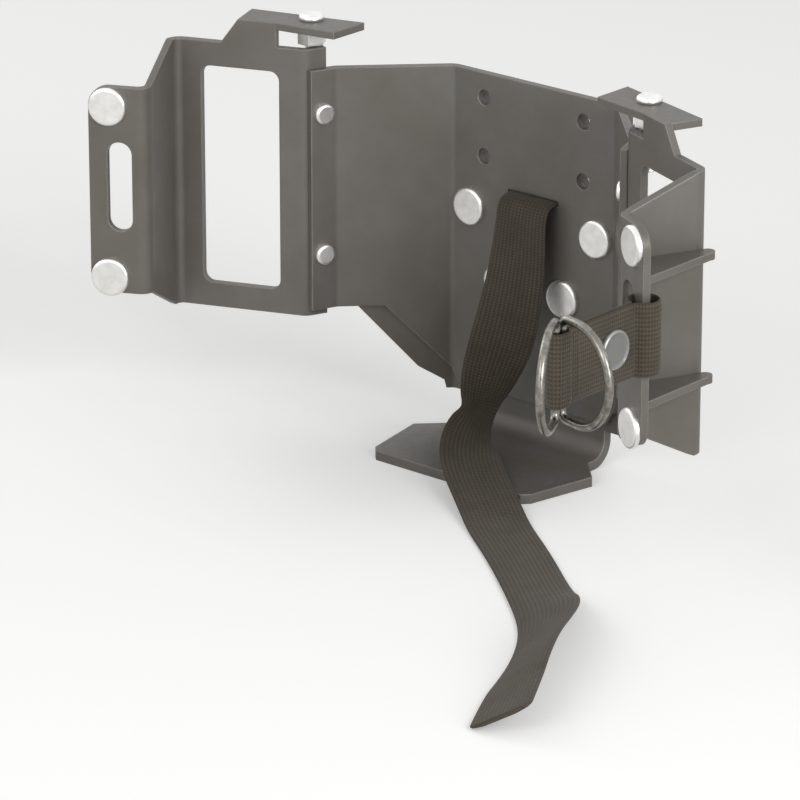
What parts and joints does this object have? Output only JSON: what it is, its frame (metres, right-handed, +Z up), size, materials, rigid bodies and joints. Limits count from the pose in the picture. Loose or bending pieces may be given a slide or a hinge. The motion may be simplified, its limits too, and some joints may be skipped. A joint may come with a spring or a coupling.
{
  "type": "jerry can holder",
  "caption": "Folded steel cradle with a ledge, framed side brackets, slotted wings and webbing straps that holds a small jerry can against a case.",
  "frame": {"origin": "middle of the width on the ledge's underside, 35 mm in front of the rear face that is fixed to the case", "axes": "+Z up along the back plate, -Y out from the case towards the user, +X to the right seen from the front"},
  "size_m": [0.3246, 0.2415, 0.1706],
  "materials": {
    "coated_steel": "satin",
    "bright_steel": "polished",
    "snap_metal": "satin",
    "ring_steel": "polished",
    "webbing": "matte"
  },
  "bodies": {
    "holder": {"cradle": "coated_steel", "foot_bracket": "coated_steel", "right_wing_bracket": "coated_steel", "left_wing_bracket": "coated_steel", "right_gusset_lower": "coated_steel", "left_gusset_lower": "coated_steel", "right_gusset_upper": "coated_steel", "left_gusset_upper": "coated_steel", "back_rivet_left_lower": "bright_steel", "back_rivet_left_upper": "bright_steel", "back_rivet_right_lower": "bright_steel", "back_rivet_right_upper": "bright_steel", "right_wing_rivet_lower": "bright_steel", "left_wing_rivet_lower": "bright_steel", "right_wing_rivet_upper": "bright_steel", "left_wing_rivet_upper": "bright_steel", "right_cheek_rivet_lower": "bright_steel", "left_cheek_rivet_lower": "bright_steel", "right_cheek_rivet_upper": "bright_steel", "left_cheek_rivet_upper": "bright_steel", "right_clamp_bolt": "bright_steel", "left_clamp_bolt": "bright_steel", "right_clamp_washer": "bright_steel", "left_clamp_washer": "bright_steel", "right_clamp_nut": "bright_steel", "left_clamp_nut": "bright_steel", "short_strap": "webbing", "strap_snap": "snap_metal", "long_strap": "webbing"},
    "rear_ring": {"rear_ring": "ring_steel"},
    "front_ring": {"front_ring": "ring_steel"}
  },
  "joints": [
    {"name": "rear_ring_swing", "type": "hinge", "parent": "holder", "child": "rear_ring", "pos_m": [0.13688, -0.12078, 0.1058], "axis": [0, 0, 1], "range_deg": [0, 80]},
    {"name": "front_ring_swing", "type": "hinge", "parent": "holder", "child": "front_ring", "pos_m": [0.13688, -0.12428, 0.1058], "axis": [0, 0, 1], "range_deg": [-75, 10]}
  ]
}
